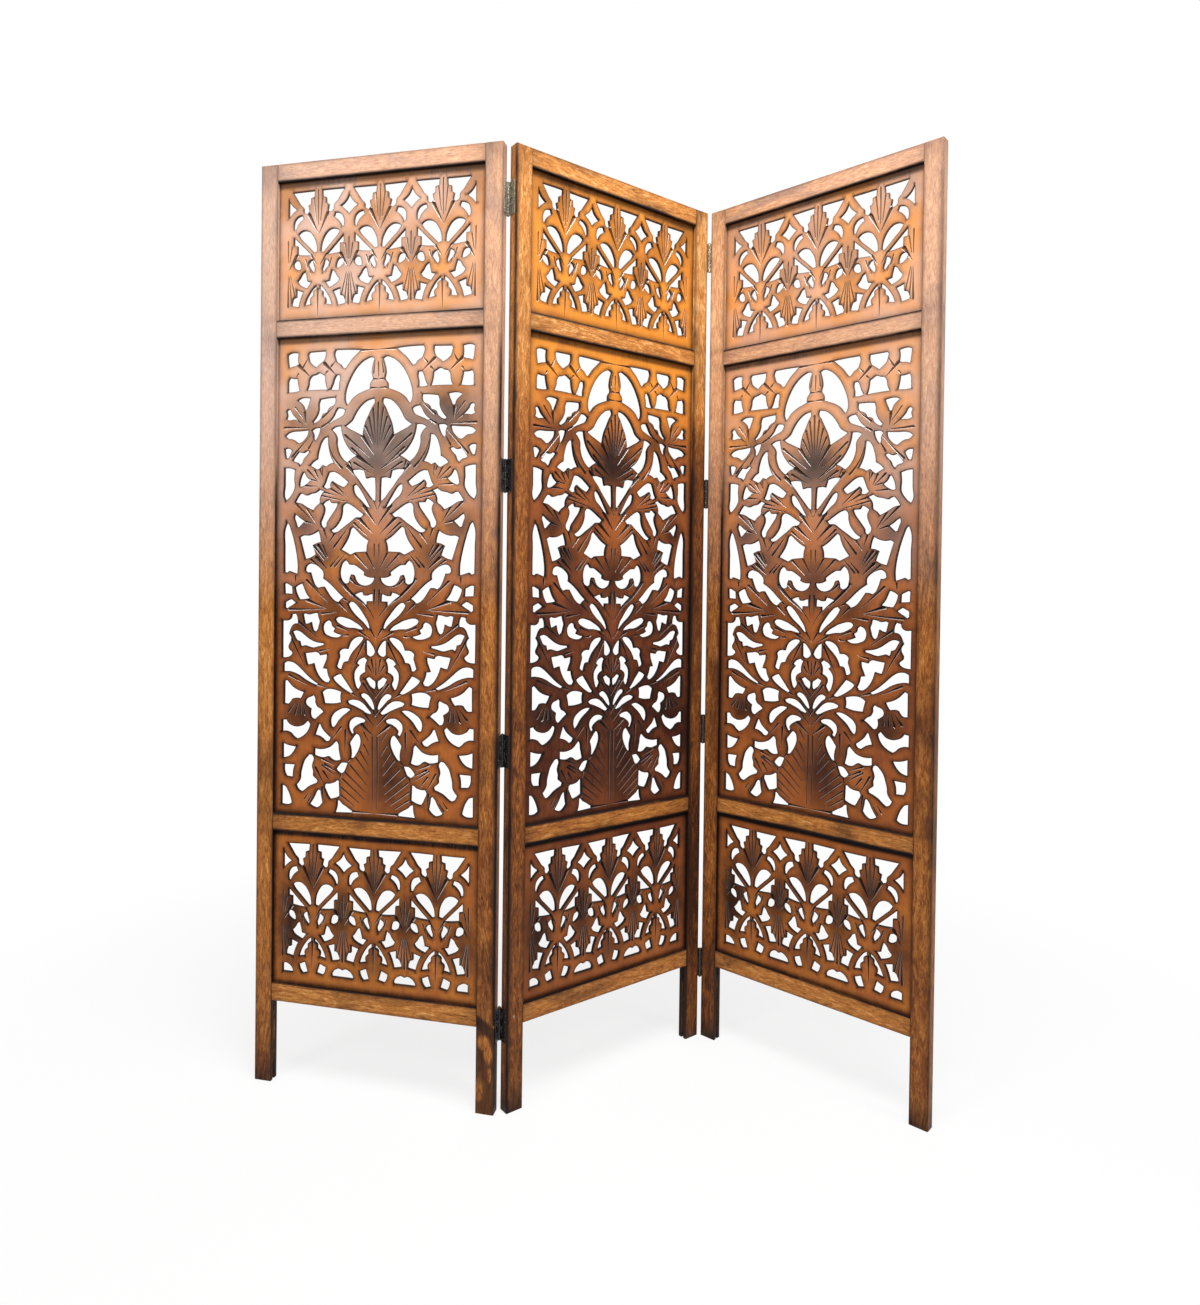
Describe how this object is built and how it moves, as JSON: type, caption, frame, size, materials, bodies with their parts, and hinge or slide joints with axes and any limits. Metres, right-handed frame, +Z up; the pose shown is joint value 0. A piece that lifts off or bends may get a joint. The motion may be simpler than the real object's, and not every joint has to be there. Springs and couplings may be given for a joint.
{
  "type": "folding screen",
  "caption": "Folding room screen of hinged wooden panels, each a mortised frame with pierced and carved lattice boards showing a vase, a tree of life and palmette bands.",
  "frame": {"origin": "on the floor, at the middle of the footprint of the screen as it stands half folded", "axes": "+Z up, -Y the front that faces the viewer, +X to the viewer's right along the screen's own length"},
  "size_m": [1.3178, 0.3714, 1.829],
  "materials": {
    "frame_wood": "oiled and burnt mango wood, satin",
    "carved_board": "stained and burnt carved wood, satin",
    "hinge_metal": "black painted steel, satin"
  },
  "bodies": {
    "left_panel": {"left_panel_left_stile": "frame_wood", "left_panel_right_stile": "frame_wood", "left_panel_bottom_rail": "frame_wood", "left_panel_lower_rail": "frame_wood", "left_panel_upper_rail": "frame_wood", "left_panel_top_rail": "frame_wood", "left_panel_bottom_board": "carved_board", "left_panel_middle_board": "carved_board", "left_panel_top_board": "carved_board", "left_joint_leaves_on_left_panel": "hinge_metal", "left_joint_pins": "hinge_metal"},
    "middle_panel": {"middle_panel_left_stile": "frame_wood", "middle_panel_right_stile": "frame_wood", "middle_panel_bottom_rail": "frame_wood", "middle_panel_lower_rail": "frame_wood", "middle_panel_upper_rail": "frame_wood", "middle_panel_top_rail": "frame_wood", "middle_panel_bottom_board": "carved_board", "middle_panel_middle_board": "carved_board", "middle_panel_top_board": "carved_board", "left_joint_leaves_on_middle_panel": "hinge_metal", "right_joint_leaves_on_middle_panel": "hinge_metal"},
    "right_panel": {"right_panel_left_stile": "frame_wood", "right_panel_right_stile": "frame_wood", "right_panel_bottom_rail": "frame_wood", "right_panel_lower_rail": "frame_wood", "right_panel_upper_rail": "frame_wood", "right_panel_top_rail": "frame_wood", "right_panel_bottom_board": "carved_board", "right_panel_middle_board": "carved_board", "right_panel_top_board": "carved_board", "right_joint_leaves_on_right_panel": "hinge_metal", "right_joint_pins": "hinge_metal"}
  },
  "joints": [
    {"name": "left_fold", "type": "hinge", "parent": "middle_panel", "child": "left_panel", "pos_m": [-0.15341, -0.16056, 0], "axis": [0, 0, 1], "range_deg": [-130.15, 49.85]},
    {"name": "right_fold", "type": "hinge", "parent": "middle_panel", "child": "right_panel", "pos_m": [0.23632, 0.16626, 0], "axis": [0, 0, 1], "range_deg": [-100.4, 79.6]}
  ]
}
